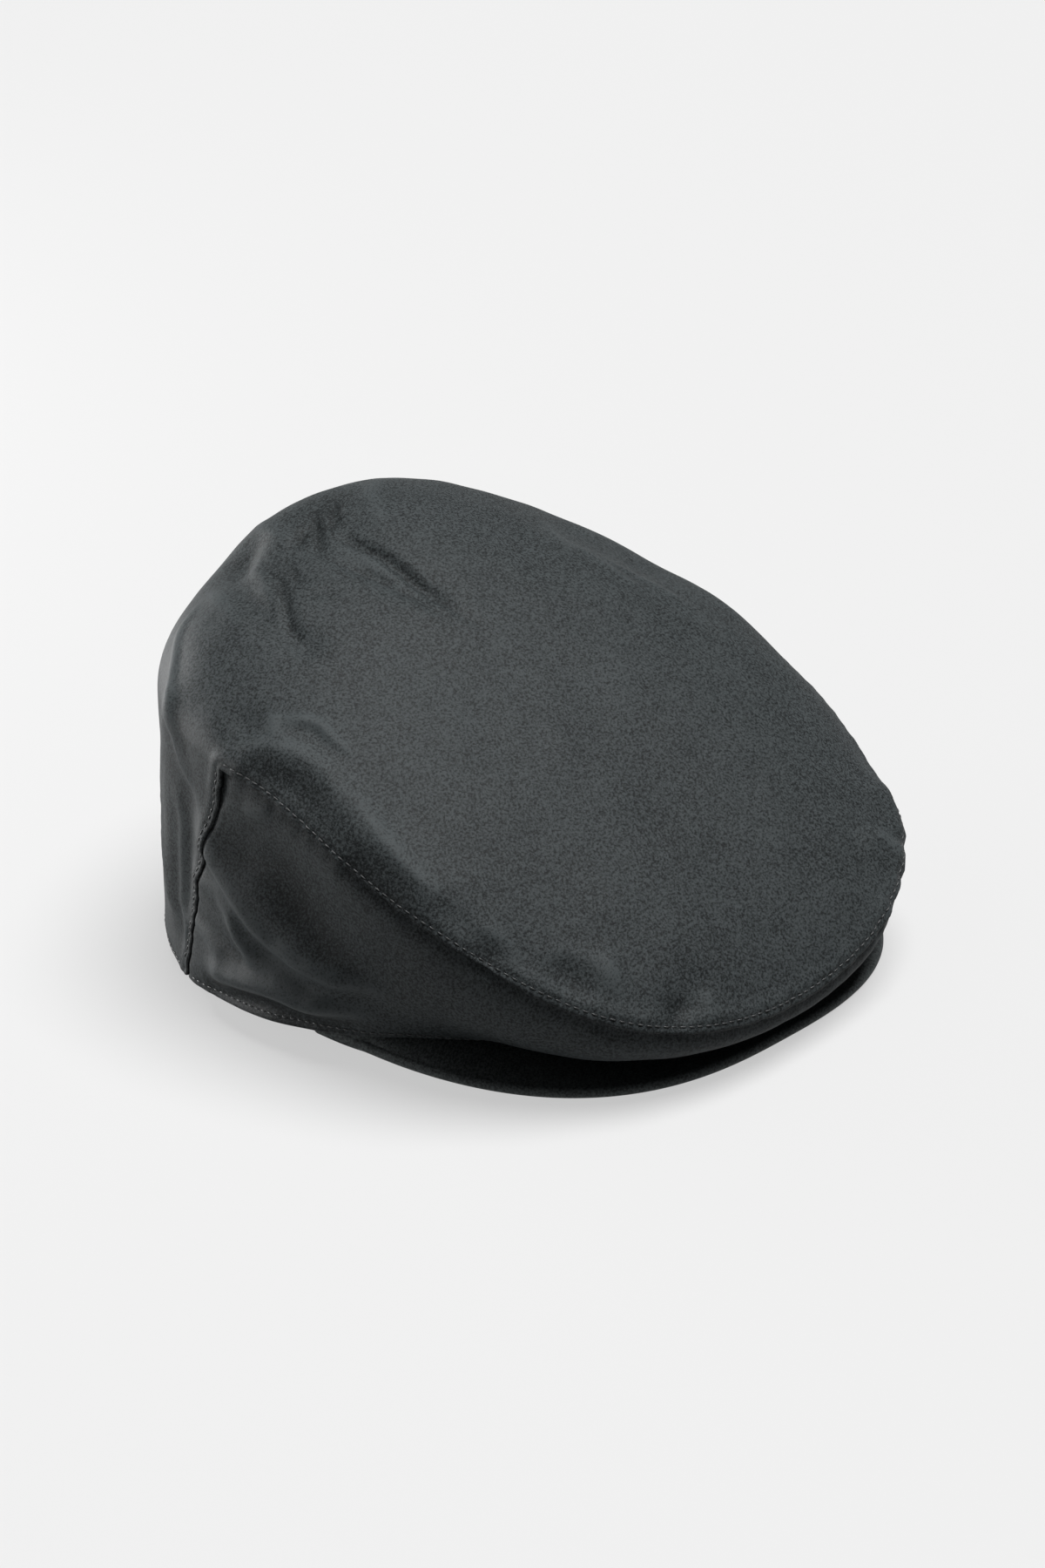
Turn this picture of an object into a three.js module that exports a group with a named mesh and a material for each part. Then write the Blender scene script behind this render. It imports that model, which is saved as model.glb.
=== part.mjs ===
// A waxed cotton flat cap, lying unworn on the back of its rim and on the front edge of its peak.
// Millimetres, +Z up. The peak points to -Y, and the wearer's right side is at -X.
// The origin is on the surface that the cap lies on, below the middle of its outline.
import * as THREE from 'three';

// The opening for the head, on the outside of the cloth: its reach in front of the middle of the head
// and behind it, its width, and how far the rim arches up off the surface at the temples
const openingFront = 90;
const openingBack = 99;
const openingWidth = 190;
const rimArch = 10;

// The crown: how far its seam stands out in front, behind and across, and the height of its middle
const crownFront = 126;
const crownBack = 91;
const crownWidth = 194;
const crownHeight = 113;

// The cloth with its lining, and the clearance at each seam
const clothThickness = 2;
const seamGap = 0.3;

// The ear seams, in degrees round the head from the front: where they meet the top seam, and the rim
const earSeamTop = 101;
const earSeamFoot = 119;

// The peak: thickness, reach in front of the middle of the head, the angle round the head at which its
// root ends, the width of its cut ends, how square its outline is (below 1, squarer than an ellipse), and
// how much further forward it lies towards the wearer's left, as a share of the way across
const peakThickness = 3.5;
const peakFront = 119.5;
const peakRootAngle = 76;
const peakEndWidth = 6;
const peakSquareness = 0.74;
const peakSkew = 0.07;

// How far the softest cloth sinks where the cap rests, and the size of a fold of full depth and width
const restSink = 0.8;
const foldDepth = 4;
const foldWidth = 12;

// The flat of the top: how far out it reaches, as a share of the seam's reach, and how it slopes forward
const topSpread = 0.5;
const topSlope = 0.4;

// Sections of the crown round the head. reach is a share of the crown's oval, seam and rise of its height
// (rise is how far the top panel goes on straight up above its seam), and rim of the rim's arch.
// flare, foot and shoulder bend the wall between rim and seam, as shares of its reach and of its height.
const sections = [
  { angle: 0, reach: 1.0, seam: 0.145, rise: 0.122, rim: 0.65, flare: 0.95, foot: 0.0, shoulder: 0.7 },
  { angle: 30, reach: 1.075, seam: 0.245, rise: 0.112, rim: 0.85, flare: 0.85, foot: 0.05, shoulder: 0.65 },
  { angle: 60, reach: 1.09, seam: 0.53, rise: 0.094, rim: 1.0, flare: 0.5, foot: 0.3, shoulder: 0.5 },
  { angle: 90, reach: 1.0, seam: 0.728, rise: 0.11, rim: 0.48, flare: 0.3, foot: 0.4, shoulder: 0.5 },
  { angle: 120, reach: 1.015, seam: 0.75, rise: 0.2, rim: 0, flare: 0.2, foot: 0.4, shoulder: 0.5 },
  { angle: 150, reach: 1.03, seam: 0.696, rise: 0.318, rim: 0, flare: 0.2, foot: 0.4, shoulder: 0.5 },
  { angle: 180, reach: 1.0, seam: 0.746, rise: 0.381, rim: 0, flare: 0.2, foot: 0.4, shoulder: 0.5 },
  { angle: 210, reach: 1.03, seam: 0.733, rise: 0.348, rim: 0, flare: 0.2, foot: 0.4, shoulder: 0.5 },
  { angle: 240, reach: 1.005, seam: 0.694, rise: 0.227, rim: 0, flare: 0.2, foot: 0.4, shoulder: 0.5 },
  { angle: 270, reach: 1.0, seam: 0.631, rise: 0.147, rim: 0.48, flare: 0.3, foot: 0.4, shoulder: 0.5 },
  { angle: 300, reach: 1.1, seam: 0.447, rise: 0.143, rim: 1.0, flare: 0.5, foot: 0.3, shoulder: 0.5 },
  { angle: 330, reach: 1.1, seam: 0.245, rise: 0.112, rim: 0.85, flare: 0.85, foot: 0.05, shoulder: 0.65 },
];

// Folds and dents, each along a line on the crown from one place to another. A place is an angle round
// the head and a way up: 0 at the rim, 1 at the seam and 2 at the middle of the top. depth is a share of
// the fold depth, outward above zero, and width a share of the fold width.
const folds = [
  { name: 'groove across the top', from: [172, 1.64], to: [125, 1.9], depth: -0.55, width: 0.6 },
  { name: 'crease down the back of the top', from: [162, 1.39], to: [110, 1.57], depth: -0.45, width: 0.5 },
  { name: 'pucker at the back of the top', from: [176, 1.5], to: [158, 1.6], depth: -0.4, width: 0.6 },
  { name: 'dimple above the ear seam', from: [101, 1.25], to: [99, 1.25], depth: -0.5, width: 0.55 },
  { name: 'shoulder over the ear', from: [96, 1.2], to: [80, 1.28], depth: 0.45, width: 0.6 },
  { name: 'dent over the ear', from: [92, 1.08], to: [80, 1.1], depth: -0.3, width: 0.6 },
  { name: 'shoulder over the temple', from: [74, 1.27], to: [58, 1.2], depth: 0.45, width: 0.6 },
  { name: 'dent over the temple', from: [70, 1.05], to: [46, 1.12], depth: -0.3, width: 0.6 },
  { name: 'dent over the front corner', from: [22, 1.12], to: [18, 1.2], depth: -0.3, width: 0.6 },
  { name: 'hollow in the side', from: [95, 0.78], to: [66, 0.74], depth: -0.5, width: 1.2 },
  { name: 'drape from the ear seam', from: [106, 0.72], to: [76, 0.36], depth: 0.75, width: 0.6 },
  { name: 'drape above the hem', from: [110, 0.5], to: [95, 0.36], depth: 0.4, width: 0.5 },
  { name: 'drape over the hem', from: [104, 0.14], to: [80, 0.16], depth: 0.55, width: 0.6 },
  { name: 'upright fold behind the ear', from: [122, 1.05], to: [125, 0.3], depth: 0.5, width: 0.6 },
  { name: 'hollow behind the ear seam', from: [113, 0.85], to: [121, 0.15], depth: -0.4, width: 0.5 },
  { name: 'back corner of the top', from: [144, 1.05], to: [148, 1.2], depth: 0.35, width: 1.2 },
  { name: 'flat above the back corner', from: [151, 1.31], to: [157, 1.36], depth: -0.5, width: 1.0 },
  { name: 'flat of the far side', from: [258, 1.5], to: [271, 1.43], depth: -0.7, width: 1.3 },
  { name: 'corner of the far side', from: [279, 1.3], to: [285, 1.25], depth: 0.35, width: 1.0 },
  { name: 'corner at the far temple', from: [321, 1.12], to: [324, 1.02], depth: 0.8, width: 0.8 },
  { name: 'dent in the far side', from: [275, 0.7], to: [295, 0.6], depth: -0.5, width: 1.5 },
  { name: 'fold at the front corner', from: [332, 1.2], to: [330, 1.0], depth: 0.35, width: 0.5 },
];

// Steps of the surfaces: round the front and the back, and up the top, the wall and the peak
const frontSteps = 44;
const backSteps = 34;
const topSteps = 13;
const wallSteps = 8;
const peakSteps = 36;
const peakDepthSteps = 5;
const foldLineSteps = 6;
const smallStep = 0.01;

// A smooth value between the sections, round the head
function around(column, angle) {
  const spacing = 360 / sections.length;
  const turns = THREE.MathUtils.euclideanModulo(angle, 360) / spacing;
  const index = Math.floor(turns);
  const value = (shift) => sections[(index + shift + sections.length) % sections.length][column];
  const t = turns - index;
  const straight = value(1) - value(-1);
  const bend = 2 * value(-1) - 5 * value(0) + 4 * value(1) - value(2);
  const turn = 3 * value(0) - value(-1) - 3 * value(1) + value(2);
  return 0.5 * (2 * value(0) + straight * t + bend * t ** 2 + turn * t ** 3);
}

// The reach of an oval round the head, with its own reach in front and behind
function ovalReach(angle, front, back, width) {
  const radians = THREE.MathUtils.degToRad(angle);
  const along = Math.cos(radians) > 0 ? front : back;
  return 1 / Math.hypot(Math.sin(radians) / (width / 2), Math.cos(radians) / along);
}

function placeRoundHead(angle, reach, height) {
  const radians = THREE.MathUtils.degToRad(angle);
  return new THREE.Vector3(-reach * Math.sin(radians), -reach * Math.cos(radians), height);
}

function rimReach(angle) {
  return ovalReach(angle, openingFront, openingBack, openingWidth);
}

function rimHeight(angle) {
  const arch = (rimArch + restSink) * around('rim', angle);
  return arch - restSink;
}

// The crown before its folds: one curve from rim to seam and one from seam to the middle of the top
function smoothCrown(angle, way) {
  const rim = new THREE.Vector2(rimReach(angle), rimHeight(angle));
  const ovalAtSeam = ovalReach(angle, crownFront, crownBack, crownWidth);
  const seam = new THREE.Vector2(ovalAtSeam * around('reach', angle), crownHeight * around('seam', angle));
  const spread = topSpread * seam.x;
  const forward = Math.cos(THREE.MathUtils.degToRad(angle));
  const wall = new THREE.CubicBezierCurve(
    rim,
    new THREE.Vector2(
      THREE.MathUtils.lerp(rim.x, seam.x, around('flare', angle)),
      THREE.MathUtils.lerp(rim.y, seam.y, around('foot', angle)),
    ),
    new THREE.Vector2(seam.x, THREE.MathUtils.lerp(seam.y, rim.y, around('shoulder', angle))),
    seam,
  );
  const top = new THREE.CubicBezierCurve(
    seam,
    new THREE.Vector2(seam.x, seam.y + crownHeight * around('rise', angle)),
    new THREE.Vector2(spread, crownHeight - topSlope * forward * spread),
    new THREE.Vector2(0, crownHeight),
  );
  const place = way < 1 ? wall.getPoint(way) : top.getPoint(way - 1);
  return placeRoundHead(angle, place.x, place.y);
}

// The outward direction of the smooth crown
function outward(angle, way) {
  const at = THREE.MathUtils.clamp(way, smallStep, 2 - 2 * smallStep);
  const round = smoothCrown(angle + 1, at).sub(smoothCrown(angle - 1, at));
  const up = smoothCrown(angle, at + smallStep).sub(smoothCrown(angle, at - smallStep));
  return up.cross(round).normalize();
}

const foldLines = folds.map((fold) => {
  const stops = [];
  for (let step = 0; step <= foldLineSteps; step += 1) {
    const share = step / foldLineSteps;
    const angle = THREE.MathUtils.lerp(fold.from[0], fold.to[0], share);
    stops.push(smoothCrown(angle, THREE.MathUtils.lerp(fold.from[1], fold.to[1], share)));
  }
  return stops.slice(1).map((stop, index) => new THREE.Line3(stops[index], stop));
});

// How far the folds push a place of the crown outward
function foldPush(place) {
  const nearest = new THREE.Vector3();
  return folds.reduce((push, fold, index) => {
    const gaps = foldLines[index].map((line) => {
      line.closestPointToPoint(place, true, nearest);
      return nearest.distanceTo(place);
    });
    const share = Math.min(...gaps) / (foldWidth * fold.width);
    return push + foldDepth * fold.depth * Math.exp(-(share ** 2));
  }, 0);
}

// Soft cloth is flattened where it rests
function settle(place) {
  place.z = Math.max(place.z, 0);
  return place;
}

// The two faces of the cloth at a place on the crown
function crownCloth(angle, way) {
  const smooth = smoothCrown(angle, way);
  const direction = outward(angle, way);
  const outer = smooth.clone().addScaledVector(direction, foldPush(smooth));
  const inner = outer.clone().addScaledVector(direction, -clothThickness);
  return { outer: settle(outer), inner: settle(inner) };
}

// A closed solid between two faces that share their triangles, walled in along the free edges
function sheetGeometry(places, triangles) {
  const count = places.length;
  const corners = [...places.map((place) => place.outer), ...places.map((place) => place.inner)];
  const sides = new Map();
  const index = [];
  for (const [a, b, c] of triangles) {
    index.push(a, b, c, count + a, count + c, count + b);
    for (const [from, to] of [[a, b], [b, c], [c, a]]) {
      if (!sides.delete(`${to} ${from}`)) {
        sides.set(`${from} ${to}`, [from, to]);
      }
    }
  }
  for (const [from, to] of sides.values()) {
    index.push(to, from, count + from, to, count + from, count + to);
  }
  const geometry = new THREE.BufferGeometry().setFromPoints(corners);
  geometry.setIndex(index);
  geometry.computeVertexNormals();
  return geometry;
}

// Two triangles for each cell between two rows of places, the second row above the first
function weaveRows(lower, upper) {
  const triangles = [];
  for (let step = 0; step + 1 < lower.length; step += 1) {
    triangles.push([lower[step], upper[step], upper[step + 1]]);
    triangles.push([lower[step], upper[step + 1], lower[step + 1]]);
  }
  return triangles;
}

function earSeamAngle(way) {
  return THREE.MathUtils.lerp(earSeamFoot, earSeamTop, Math.min(way, 1));
}

// The top panel: a whole ring of columns above the seam, and those behind the ears on down to the rim
function topPanelGeometry() {
  const places = [];
  const addRow = (way, angles) => angles.map((angle) => places.push(crownCloth(angle, way)) - 1);
  const backAngles = (way) => {
    const ear = earSeamAngle(way);
    const angles = [];
    for (let step = 0; step <= backSteps; step += 1) {
      angles.push(THREE.MathUtils.lerp(ear, 360 - ear, step / backSteps));
    }
    return angles;
  };
  const frontAngles = [];
  for (let step = 1; step < frontSteps; step += 1) {
    frontAngles.push(THREE.MathUtils.lerp(-earSeamTop, earSeamTop, step / frontSteps));
  }
  const ring = [...backAngles(1), ...frontAngles];
  const closeRing = (row) => [...row, row[0]];
  const seamRow = addRow(1, ring);
  const triangles = [];
  let below = closeRing(seamRow);
  for (let step = 1; step < topSteps; step += 1) {
    const row = closeRing(addRow(1 + step / topSteps, ring));
    triangles.push(...weaveRows(below, row));
    below = row;
  }
  const [middle] = addRow(2, [0]);
  for (let step = 0; step < ring.length; step += 1) {
    triangles.push([below[step], middle, below[step + 1]]);
  }
  let above = seamRow.slice(0, backSteps + 1);
  for (let step = wallSteps - 1; step >= 0; step -= 1) {
    const way = step / wallSteps;
    const row = addRow(way, backAngles(way));
    triangles.push(...weaveRows(row, above));
    above = row;
  }
  return sheetGeometry(places, triangles);
}

// The side band: from ear seam to ear seam round the front, clear of the top panel by the seam's gap
function sideBandGeometry() {
  const places = [];
  const triangles = [];
  let below = null;
  for (let step = 0; step <= wallSteps; step += 1) {
    const row = [];
    for (let column = 0; column <= frontSteps; column += 1) {
      const share = (2 * column) / frontSteps - 1;
      const ear = earSeamAngle(step / wallSteps);
      const gapAngle = THREE.MathUtils.radToDeg(seamGap / rimReach(ear));
      const angle = share * (ear - gapAngle);
      const climb = smoothCrown(angle, 1).distanceTo(smoothCrown(angle, 1 - smallStep)) / smallStep;
      const way = (step / wallSteps) * (1 - seamGap / climb);
      row.push(places.push(crownCloth(angle, way)) - 1);
    }
    if (below) {
      triangles.push(...weaveRows(below, row));
    }
    below = row;
  }
  return sheetGeometry(places, triangles);
}

// The peak: from a root below the band's rim out to a rounded front edge that droops to the surface
function peakGeometry() {
  const rootPlace = (angle) => {
    return placeRoundHead(angle, rimReach(angle) - clothThickness, rimHeight(angle) - seamGap);
  };
  const rootEnd = rootPlace(peakRootAngle);
  const endForward = -rootEnd.y - peakEndWidth;
  const edgeHeight = peakThickness - restSink / 2;
  const places = [];
  const triangles = [];
  let below = null;
  for (let depth = 0; depth <= peakDepthSteps; depth += 1) {
    const row = [];
    for (let step = 0; step <= peakSteps; step += 1) {
      const share = (2 * step) / peakSteps - 1;
      const turn = (Math.abs(share) * Math.PI) / 2;
      const side = Math.sign(share) * rootEnd.x * Math.sin(turn) ** peakSquareness;
      const forwardShare = Math.max(Math.cos(turn), 0) ** peakSquareness;
      const forward = THREE.MathUtils.lerp(endForward, peakFront, forwardShare) + peakSkew * side;
      const height = THREE.MathUtils.lerp(rootEnd.z, edgeHeight, forwardShare);
      const edge = new THREE.Vector3(side, -forward, height);
      const outer = rootPlace(share * peakRootAngle).lerp(edge, depth / peakDepthSteps);
      const inner = outer.clone();
      inner.z -= peakThickness;
      row.push(places.push({ outer, inner: settle(inner) }) - 1);
    }
    if (below) {
      triangles.push(...weaveRows(row, below));
    }
    below = row;
  }
  return sheetGeometry(places, triangles);
}

const waxedCloth = { color: 0x2b302f, roughness: 0.55, metalness: 0 };
const peakCloth = { color: 0x1d2021, roughness: 0.6, metalness: 0 };

function namedMesh(name, geometry, finish) {
  const mesh = new THREE.Mesh(geometry, new THREE.MeshStandardMaterial(finish));
  mesh.name = name;
  return mesh;
}

const cap = new THREE.Group();
cap.add(
  namedMesh('top_panel', topPanelGeometry(), waxedCloth),
  namedMesh('side_band', sideBandGeometry(), waxedCloth),
  namedMesh('peak', peakGeometry(), peakCloth),
);

// The origin goes below the middle of the outline
const outline = new THREE.Box3().setFromObject(cap);
const middle = outline.getCenter(new THREE.Vector3());
cap.position.set(-middle.x, -middle.y, -outline.min.z);

export default cap;
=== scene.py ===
import math

import bpy
import numpy as np
from mathutils import Matrix, Vector, kdtree, noise


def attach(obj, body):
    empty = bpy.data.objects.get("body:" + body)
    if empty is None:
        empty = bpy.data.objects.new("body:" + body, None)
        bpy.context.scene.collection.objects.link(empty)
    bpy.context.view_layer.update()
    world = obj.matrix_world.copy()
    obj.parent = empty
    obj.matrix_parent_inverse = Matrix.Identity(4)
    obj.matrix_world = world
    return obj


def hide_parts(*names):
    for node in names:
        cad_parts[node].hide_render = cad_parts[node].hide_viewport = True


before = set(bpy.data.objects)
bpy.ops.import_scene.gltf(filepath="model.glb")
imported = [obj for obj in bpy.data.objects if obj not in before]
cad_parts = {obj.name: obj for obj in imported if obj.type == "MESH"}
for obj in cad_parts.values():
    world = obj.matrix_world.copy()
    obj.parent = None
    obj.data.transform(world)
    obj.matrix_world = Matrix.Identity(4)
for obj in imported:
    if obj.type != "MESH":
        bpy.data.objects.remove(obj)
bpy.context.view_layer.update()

# The top panel: one piece of waxed cotton that falls forward over the peak and runs down the back of the head
# to the rim. Its front and side edges are folded under, lapped over the side band and topstitched, and behind
# the ears it is lapped over the band's ends in the same way.

# Sizes in metres, from the middle of the head at the height of the surface
OPENING_FRONT, OPENING_BACK, OPENING_WIDTH = 0.090, 0.099, 0.190
RIM_ARCH = 0.010
CROWN_FRONT, CROWN_BACK, CROWN_WIDTH, CROWN_HEIGHT = 0.126, 0.091, 0.194, 0.113
CLOTH = 0.002
REST_SINK = 0.0008
TOP_SPREAD, TOP_SLOPE = 0.5, 0.4
EAR_SEAM_TOP, EAR_SEAM_FOOT = 101, 119
HEAD_MIDDLE = np.array([-0.000307, 0.013579, 0.0])

# Sections of the crown every 30 degrees round the head from the front, towards the wearer's right side first
SECTION_COLUMNS = ("reach", "seam", "rise", "rim", "flare", "foot", "shoulder")
SECTIONS = np.array(
    [
        [1.0, 0.145, 0.122, 0.65, 0.95, 0.0, 0.7],
        [1.075, 0.245, 0.112, 0.85, 0.85, 0.05, 0.65],
        [1.09, 0.53, 0.094, 1.0, 0.5, 0.3, 0.5],
        [1.0, 0.728, 0.11, 0.48, 0.3, 0.4, 0.5],
        [1.015, 0.75, 0.2, 0.0, 0.2, 0.4, 0.5],
        [1.03, 0.696, 0.318, 0.0, 0.2, 0.4, 0.5],
        [1.0, 0.746, 0.381, 0.0, 0.2, 0.4, 0.5],
        [1.03, 0.733, 0.348, 0.0, 0.2, 0.4, 0.5],
        [1.005, 0.694, 0.227, 0.0, 0.2, 0.4, 0.5],
        [1.0, 0.631, 0.147, 0.48, 0.3, 0.4, 0.5],
        [1.1, 0.447, 0.143, 1.0, 0.5, 0.3, 0.5],
        [1.1, 0.245, 0.112, 0.85, 0.85, 0.05, 0.65],
    ]
)

# Folds and creases of the cloth: height outward and half width in millimetres, then the places that each runs
# through, as an angle round the head and a way up (0 at the rim, 1 at the seam, 2 at the middle of the top)
FOLDS = [
    ("groove across the top", -2.2, 7.2, [(172, 1.64), (125, 1.9)]),
    ("crease down the back of the top", -1.8, 6.0, [(162, 1.39), (110, 1.57)]),
    ("pucker at the back of the top", -1.6, 7.2, [(176, 1.5), (158, 1.6)]),
    ("dimple above the ear seam", -2.0, 6.6, [(101, 1.25), (99, 1.25)]),
    ("shoulder over the ear", 1.8, 7.2, [(96, 1.2), (80, 1.28)]),
    ("dent over the ear", -1.2, 7.2, [(92, 1.08), (80, 1.1)]),
    ("shoulder over the temple", 1.8, 7.2, [(74, 1.27), (58, 1.2)]),
    ("dent over the temple", -1.2, 7.2, [(70, 1.05), (46, 1.12)]),
    ("dent over the front corner", -1.2, 7.2, [(22, 1.12), (18, 1.2)]),
    ("hollow in the side", -2.0, 14.4, [(95, 0.78), (66, 0.74)]),
    ("drape from the ear seam", 3.0, 7.2, [(106, 0.72), (76, 0.36)]),
    ("drape above the hem", 1.6, 6.0, [(110, 0.5), (95, 0.36)]),
    ("drape over the hem", 2.2, 7.2, [(104, 0.14), (80, 0.16)]),
    ("upright fold behind the ear", 2.0, 7.2, [(122, 1.05), (125, 0.3)]),
    ("hollow behind the ear seam", -1.6, 6.0, [(113, 0.85), (121, 0.15)]),
    ("back corner of the top", 1.4, 14.4, [(144, 1.05), (148, 1.2)]),
    ("flat above the back corner", -2.0, 12.0, [(151, 1.31), (157, 1.36)]),
    ("flat of the far side", -2.8, 15.6, [(258, 1.5), (271, 1.43)]),
    ("corner of the far side", 1.4, 12.0, [(279, 1.3), (285, 1.25)]),
    ("corner at the far temple", 3.2, 9.6, [(321, 1.12), (324, 1.02)]),
    ("dent in the far side", -2.0, 18.0, [(275, 0.7), (295, 0.6)]),
    ("fold at the front corner", 1.4, 6.0, [(332, 1.2), (330, 1.0)]),
]
FINE_CREASES = [
    ("long groove across the top", -1.9, 1.9, [(168, 1.65), (160, 1.79), (149, 1.85), (128, 1.9), (91, 1.92), (50, 1.92)]),
    ("second groove", -1.2, 2, [(155, 1.63), (142, 1.78), (134, 1.83), (113, 1.87), (75, 1.89)]),
    ("pucker at the back", -1.5, 2, [(185, 1.53), (176, 1.59), (170, 1.61)]),
    ("second pucker", -1.6, 2, [(179, 1.5), (168, 1.58), (156, 1.64)]),
    ("third pucker", -1.4, 2, [(170, 1.53), (162, 1.555), (158, 1.545)]),
    ("fourth pucker", -1.2, 2.6, [(155, 1.53), (149, 1.58), (139, 1.61), (132, 1.6)]),
    ("crease down the top", -1.6, 2, [(155, 1.48), (142, 1.56), (130, 1.575), (119, 1.565), (110, 1.565)]),
    ("ridge beside that crease", 0.5, 2.8, [(158, 1.43), (147, 1.51), (133, 1.545), (123, 1.54)]),
    ("faint crease on the top", -0.45, 2.4, [(131, 1.6), (130, 1.65), (127, 1.71)]),
    ("fold beside the ear dimple", 1.4, 2.2, [(93.5, 1.33), (94, 1.37), (92, 1.4), (88, 1.425), (84, 1.42), (78, 1.43)]),
    ("upright fold of the dimple", 1.2, 2.2, [(98, 1.36), (95, 1.28)]),
    ("shoulder fold above the ear", 0.8, 3.2, [(101, 1.14), (95.5, 1.24), (89, 1.3), (82, 1.33), (78, 1.31)]),
    ("shoulder fold above the temple", 0.8, 3.2, [(76, 1.34), (70, 1.31), (63, 1.26), (58, 1.23), (57, 1.13)]),
    ("small shoulder fold", 0.7, 3, [(52.5, 1.14), (48.5, 1.2), (45.5, 1.19), (43, 1.1)]),
    ("dent under it", -1.4, 4, [(51, 1.12), (47, 1.07)]),
    ("dent towards the front", -1.3, 4.4, [(39.5, 1.2), (36.5, 1.18), (33.5, 1.12)]),
    ("fold over that dent", 0.4, 2.8, [(41, 1.21), (37, 1.26), (32.5, 1.255), (31, 1.2)]),
    ("light fold beside it", 0.9, 2.6, [(30.5, 1.29), (30.5, 1.16)]),
    ("pull at the front corner", -1.5, 3, [(24, 1.05), (22, 1.11), (20, 1.18)]),
    ("light fold at the corner", 0.75, 2.4, [(17.5, 1.06), (16, 1.18)]),
    ("faint crease over the front", -0.33, 3, [(25, 1.76), (15, 1.72), (6, 1.69)]),
    ("upright ridge at the back", 1.6, 2.2, [(144, 1.28), (139, 1.23), (131, 1.19), (122, 1.11), (118, 1.02), (115, 0.94), (112, 0.88), (110, 0.85), (106.5, 0.76)]),
    ("second upright ridge", 1.5, 2, [(118, 0.83), (117, 0.72), (118, 0.54), (119.5, 0.31), (118.5, 0.21), (119.5, 0.07)]),
    ("third upright ridge", 1, 2.2, [(124, 0.98), (127, 0.8), (127, 0.55), (125, 0.3)]),
    ("first drape", 2.6, 3.4, [(106, 0.72), (103.5, 0.64), (98.5, 0.56), (94, 0.48), (88.5, 0.4), (82, 0.375), (75, 0.4), (66, 0.41)]),
    ("second drape", 2, 3, [(110, 0.55), (103, 0.52), (99.5, 0.46), (97.5, 0.35), (94.5, 0.28), (87.5, 0.256), (81, 0.213), (73, 0.213)]),
    ("third drape", 1.4, 2.6, [(113.5, 0.29), (107.5, 0.256), (104, 0.22), (102.5, 0.15)]),
    ("light fold under the seam", 0.9, 2.6, [(96.5, 0.91), (89, 0.96)]),
    ("cloth over the hem", 3.4, 3.8, [(107, 0.115), (102, 0.14), (97, 0.155), (93, 0.17), (88, 0.175), (82, 0.15), (77, 0.17), (70, 0.17)]),
    ("hem drawn in", -3.8, 4, [(112, 0.02), (100, 0.05), (92, 0.06), (84, 0.05), (75, 0.06)]),
    ("hollow below the seam", -1.3, 8, [(93, 0.83), (87, 0.77), (79, 0.62), (71, 0.52)]),
    ("steep cloth above the ear", -1.5, 5.5, [(97, 1.1), (92, 1.15), (84, 1.21), (78, 1.22)]),
    ("steep cloth above the temple", -1.5, 5.5, [(80, 1.08), (73, 1.12), (66, 1.1), (59, 1.06)]),
    ("fold at the top of the back", 0.8, 3, [(205, 1.42), (203, 1.49), (190, 1.63), (182, 1.72)]),
    ("corner fold at the back", 0.7, 3.2, [(176, 1.26), (171, 1.37), (164, 1.5), (158, 1.57)]),
    ("second corner fold", 0.6, 3.2, [(153, 1.27), (146, 1.355), (136, 1.42), (127, 1.45)]),
    ("flat between those corners", -0.9, 7.0, [(165, 1.27), (158, 1.36), (150, 1.43)]),
    ("flat beside the top fold", -0.9, 7.0, [(192, 1.4), (185, 1.48), (177, 1.55)]),
    ("ridge beside the long groove", 0.7, 2.2, [(165, 1.61), (157, 1.74), (145, 1.81), (124, 1.865), (90, 1.885)]),
    ("dimple under the seam", -0.6, 2.6, [(35, 0.96), (30, 0.91)]),
    ("fold at the right tip", 1, 2.2, [(338.5, 1.09), (340.5, 0.91), (345.5, 0.89)]),
    ("first far crease", 0.62, 2.8, [(249, 1.54), (260, 1.62), (270, 1.69)]),
    ("second far crease", 0.56, 2.6, [(261, 1.6), (275, 1.61), (290, 1.61)]),
    ("third far crease", 0.56, 2.6, [(265, 1.58), (280, 1.54), (294, 1.5)]),
    ("fourth far crease", 0.5, 2.4, [(295, 1.53), (304, 1.49)]),
    ("front edge fold", 0.9, 2.6, [(330, 1.21), (329, 1.01)]),
    ("fold beside it", 0.6, 2.4, [(335, 1.1), (334, 0.93)]),
]
CREASE_STEP = 0.0008


def around(column, angle):
    """A smooth value between the sections, round the head."""
    values = SECTIONS[:, SECTION_COLUMNS.index(column)]
    turns = np.mod(angle, 360) * len(values) / 360
    index = np.floor(turns).astype(int)
    t = turns - index
    before, here, after, beyond = (values[(index + shift) % len(values)] for shift in (-1, 0, 1, 2))
    straight = after - before
    bend = 2 * before - 5 * here + 4 * after - beyond
    turn = 3 * here - before - 3 * after + beyond
    return 0.5 * (2 * here + straight * t + bend * t**2 + turn * t**3)


def oval_reach(angle, front, back, width):
    radians = np.radians(angle)
    along = np.where(np.cos(radians) > 0, front, back)
    return 1 / np.hypot(np.sin(radians) / (width / 2), np.cos(radians) / along)


def rim_reach(angle):
    return oval_reach(angle, OPENING_FRONT, OPENING_BACK, OPENING_WIDTH)


def rim_height(angle):
    return (RIM_ARCH + REST_SINK) * around("rim", angle) - REST_SINK


def seam_reach(angle):
    return oval_reach(angle, CROWN_FRONT, CROWN_BACK, CROWN_WIDTH) * around("reach", angle)


def place_round_head(angle, reach, height):
    radians = np.radians(angle)
    return np.stack([-reach * np.sin(radians), -reach * np.cos(radians), height], axis=-1)


def lerp(a, b, share):
    return a + (b - a) * share


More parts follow.
